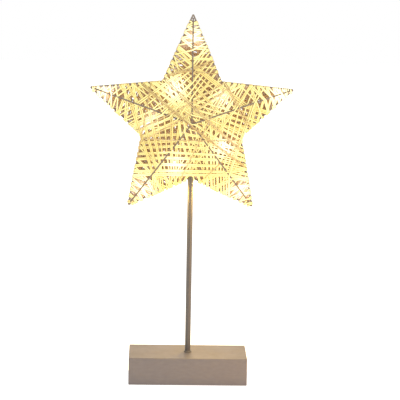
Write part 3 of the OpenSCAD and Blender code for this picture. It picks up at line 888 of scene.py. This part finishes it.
def far_from_tips(mark):
    """True if an outline mark is clear of every tip."""
    gaps = np.abs((TIP_MARKS - mark + PERIMETER / 2) % PERIMETER - PERIMETER / 2)
    return gaps.min() > TIP_MARGIN


def random_band():
    """Chords of one band of nearly parallel runs, or None if it would leave the star."""
    a, b = rng.uniform(0, PERIMETER), rng.uniform(0, PERIMETER)
    if np.hypot(*(outline_at(a)[0] - outline_at(b)[0])) < SHORTEST_CHORD:
        return None
    fan = BAND_FAN ** rng.uniform(-1.0, 1.0)
    chords = []
    for offset in spaced(rng.uniform(*BAND_WIDTHS), LINING_GAP, (1,)):
        start = a + offset + rng.uniform(-BAND_JITTER, BAND_JITTER)
        stop = b - offset * fan + rng.uniform(-BAND_JITTER, BAND_JITTER)
        fits = far_from_tips(start) and far_from_tips(stop)
        if not fits or not chord_fits(start, stop, NOTCH_SLACK):
            return None
        chords.append((start, stop))
    return chords if len(chords) >= FEWEST_CHORDS else None


def covered_by(chords):
    """Which dots lie under any of the chords."""
    hit = np.zeros(len(dots), bool)
    for mark_a, mark_b in chords:
        a, b = outline_at(mark_a)[0], outline_at(mark_b)[0]
        span = b - a
        length = math.hypot(*span)
        way = span / length
        off = dots - a
        along = off @ way
        across = np.abs(off[:, 0] * way[1] - off[:, 1] * way[0])
        hit |= (across < HALF_WIDTH) & (along > 0) & (along < length)
    return hit


lining_chords = []
for tip, near in zip(TIP_MARKS, ARM_START):
    while near < LINING_REACH:
        lining_chords.append((tip - near, tip + near * LINING_SLANT))
        near += LINING_GAP
lined = covered_by(lining_chords)
drawn = [band for band in (random_band() for _ in range(BANDS_DRAWN)) if band]
drawn = [
    band for band in drawn
    if all(chord_fits(*chord, -NOTCH_CLEARANCE) for chord in (band[0], band[-1]))
]
masks = np.array([covered_by(band) for band in drawn])
for _ in range(BANDS_KEPT):
    scores = (masks & ~lined).sum(1) - OVERLAP_COST * (masks & lined).sum(1)
    best = int(np.argmax(scores))
    if scores[best] < FEWEST_DOTS:
        break
    lined |= masks[best]
    lining_chords += drawn[best]
for chord in lining_chords:
    legs = legs_between(chord, LINING_SLIDE)
    lining.append(wind(legs, LINING_LIFT, side=1, shade=LINING_SHADE, turned=False))


# ---------------------------------------------------------------- thread meshes

# An LED lights the winding about this far around it. Depth counts less than that: a thread far
# in front of an LED is lit almost as well as one close in front of it.
GLOW_REACH = 13.5
GLOW_DEPTH_SHARE = 0.6
# How much of its light a thread keeps where it turns round the outer side of the outline wire
EDGE_SHADE = 0.4
# The length of thread that takes one unit of the UV map, which the twist follows
TWIST_UNIT = 2.0
RING_ANGLES = np.linspace(0, 2 * math.pi, SIDES, endpoint=False)


def glow_at(points):
    """How strongly the LEDs light points of the winding, from 0 to 1."""
    total = np.zeros(len(points))
    for spot in LED_SPOTS:
        gap = np.linalg.norm((points - np.array(spot)) * (1.0, GLOW_DEPTH_SHARE, 1.0), axis=1)
        total += np.exp(-((gap / GLOW_REACH) ** 2))
    return np.clip(total, 0.0, 1.0)


def tube_points(strand):
    """The vertices of one strand's tube, ring by ring, with their weave values and UVs."""
    points, ups = strand["points"], strand["ups"]
    tangent = np.gradient(points, axis=0)
    tangent /= np.linalg.norm(tangent, axis=1)[:, None]
    ups = ups - (ups * tangent).sum(1)[:, None] * tangent
    ups /= np.linalg.norm(ups, axis=1)[:, None]
    across = np.cross(tangent, ups)
    wide = HALF_WIDTH * strand["scale"]
    high = HALF_HEIGHT * strand["scale"]
    rings = (
        points[:, None, :]
        + high * np.cos(RING_ANGLES)[None, :, None] * ups[:, None, :]
        + wide * np.sin(RING_ANGLES)[None, :, None] * across[:, None, :]
    )
    # Painted shade: the lining, and each thread where it turns round the outer side of the outline
    # wire, count as facing less far outward, so they are painted darker and glow less
    shade = strand["shade"] * (EDGE_SHADE + (1.0 - EDGE_SHADE) * np.abs(strand["ups"][:, 1]))
    outward = np.outer(shade, np.cos(RING_ANGLES) * 0.5 + 0.5)
    light_and_tone = np.broadcast_arrays(
        outward, glow_at(points)[:, None], strand["tone"], strand["late"]
    )
    steps = np.linalg.norm(np.diff(points, axis=0), axis=1)
    travelled = np.concatenate(([0], np.cumsum(steps)))
    uvs = np.broadcast_arrays(
        travelled[:, None] / TWIST_UNIT, RING_ANGLES[None, :] / (2 * math.pi)
    )
    return (
        rings.reshape(-1, 3),
        np.stack(light_and_tone, axis=2).reshape(-1, 4),
        np.stack(uvs, axis=2).reshape(-1, 2),
    )


def tube_faces(base, count):
    """The faces of a closed tube of count rings whose first vertex has the number base."""
    row = base + np.arange(count - 1)[:, None] * SIDES
    here = np.arange(SIDES)[None, :]
    after = (here + 1) % SIDES
    quads = np.stack(
        (row + here, row + after, row + SIDES + after, row + SIDES + here), axis=2
    ).reshape(-1, 4)
    last = base + (count - 1) * SIDES
    ends = [list(range(base + SIDES - 1, base - 1, -1)), list(range(last, last + SIDES))]
    return quads.tolist() + ends


def strand_mesh(name, strands):
    """All strands as one mesh of oval tubes, with the attributes that thread_look reads."""
    vertices, light_and_tone, uvs = (np.concatenate(part) for part in zip(*map(tube_points, strands)))
    vertices = (vertices + (0.0, 0.0, STAR_Z)) * MM
    faces, base = [], 0
    for strand in strands:
        count = len(strand["points"])
        faces += tube_faces(base, count)
        base += count * SIDES
    mesh = bpy.data.meshes.new(name)
    mesh.from_pydata(vertices.tolist(), [], faces)
    # This attribute carries the painted light and shade that thread_look reads, and each strand's
    # tone
    attribute = mesh.attributes.new("light_and_tone", "FLOAT_COLOR", "POINT")
    attribute.data.foreach_set("color", light_and_tone.astype(np.float32).ravel())
    corner_points = np.zeros(len(mesh.loops), int)
    mesh.loops.foreach_get("vertex_index", corner_points)
    mesh.uv_layers.new(name="along").data.foreach_set("uv", uvs[corner_points].ravel())
    mesh.polygons.foreach_set("use_smooth", [True] * len(mesh.polygons))
    mesh.materials.append(THREAD.material)
    piece = bpy.data.objects.new(name, mesh)
    scene.collection.objects.link(piece)
    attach(piece, "lamp")
    return piece


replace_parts(strand_mesh("thread_lining", lining), "thread_winding")
strand_mesh("thread_first_layer", first_layer)
strand_mesh("thread_second_layer", second_layer)
strand_mesh("thread_last_runs", last_runs)


# ---------------------------------------------------------------- floor, lights, camera

scene.view_settings.view_transform = "Standard"
world = bpy.data.worlds.new("studio")
world.use_nodes = True
background = world.node_tree.nodes["Background"]
background.inputs["Color"].default_value = (1, 1, 1, 1)
background.inputs["Strength"].default_value = 1.0
scene.world = world

FLOOR_SIDE = 6.0
# The floor glows a little, so that it turns out as white as the background
FLOOR_GLOW = 0.5
half = FLOOR_SIDE / 2
floor_mesh = bpy.data.meshes.new("floor")
floor_mesh.from_pydata(
    [(-half, -half, 0), (half, -half, 0), (half, half, 0), (-half, half, 0)], [], [(0, 1, 2, 3)]
)
floor = bpy.data.objects.new("floor", floor_mesh)
scene.collection.objects.link(floor)
floor_look = grainy("floor", (0.84, 0.84, 0.84), (0.86, 0.86, 0.86), 3.0, (0.8, 0.9))
floor_look.set("Emission Color", (1, 1, 1))
floor_look.set("Emission Strength", FLOOR_GLOW)
floor_mesh.materials.append(floor_look.material)

# The battery door opens downward, so the lamp is held up for it: the floor stays below the
# door's free end. The empty lies on the floor at rest, just beyond that end.
DOOR_CLEARANCE = 0.004
door_end = bpy.data.objects.new("door_end", None)
scene.collection.objects.link(door_end)
door_end.parent = frame["bodies"]["battery_door"]
door_end.location = (door_low.x - DOOR_CLEARANCE, 0.0, 0.0)
follow = floor.constraints.new("COPY_LOCATION")
follow.target = door_end
follow.use_x = follow.use_y = False


def area_light(name, place, target, size, power, color=(1, 1, 1)):
    """A soft rectangular light, unseen by the camera."""
    data = bpy.data.lights.new(name, "AREA")
    data.shape = "RECTANGLE"
    data.size, data.size_y = size
    data.energy = power
    data.color = color
    light = bpy.data.objects.new(name, data)
    light.location = place
    light.rotation_mode = "QUATERNION"
    light.rotation_quaternion = (Vector(target) - Vector(place)).to_track_quat("-Z", "Y")
    light.visible_camera = False
    scene.collection.objects.link(light)


# A white key from the front right, and small warm lights that stand in for the star's own glow:
# on both sides of the pole, on the base's top, and on the base from the front right
STAR_WARMTH = (1.0, 0.66, 0.16)
LOW_WARMTH = (1.0, 0.5, 0.1)
LAMP_MIDDLE = (0, 0, STAR_Z * MM / 2)
area_light("key", (0.9, -1.4, 1.3), LAMP_MIDDLE, (0.8, 0.8), 6.0)
for way in (-1, 1):
    place = (way * 0.03, -0.004, 0.188)
    area_light(f"pole_glow_{way}", place, (0, 0, 0.165), (0.02, 0.02), 0.055, STAR_WARMTH)
area_light("base_glow", (0.02, 0.06, 0.19), (0.012, 0, 0.02), (0.06, 0.02), 0.55, STAR_WARMTH)
area_light(
    "side_warmth", (0.24, -0.22, 0.08), (0.05, -0.02, 0.014), (0.06, 0.06), 0.45, LOW_WARMTH
)

LOOK_AT = Vector((0.0099, 0.0, 0.1865))
AZIMUTH, ELEVATION, ROLL = math.radians(-1.7), math.radians(11.07), math.radians(1.05)
DISTANCE = 1.6
SENSOR_WIDTH = 36.0
FOCAL_LENGTH = 143.1
camera_data = bpy.data.cameras.new("camera")
camera_data.sensor_width = SENSOR_WIDTH
camera_data.lens = FOCAL_LENGTH
camera = bpy.data.objects.new("camera", camera_data)
scene.collection.objects.link(camera)
forward = Vector(
    (
        -math.sin(AZIMUTH) * math.cos(ELEVATION),
        math.cos(AZIMUTH) * math.cos(ELEVATION),
        -math.sin(ELEVATION),
    )
)
right = forward.cross(Vector((0, 0, 1))).normalized()
up = right.cross(forward)
rolled_right = math.cos(ROLL) * right + math.sin(ROLL) * up
rolled_up = math.cos(ROLL) * up - math.sin(ROLL) * right
camera.matrix_world = Matrix.Translation(LOOK_AT - forward * DISTANCE) @ Matrix(
    (rolled_right, rolled_up, -forward)
).transposed().to_4x4()
scene.camera = camera
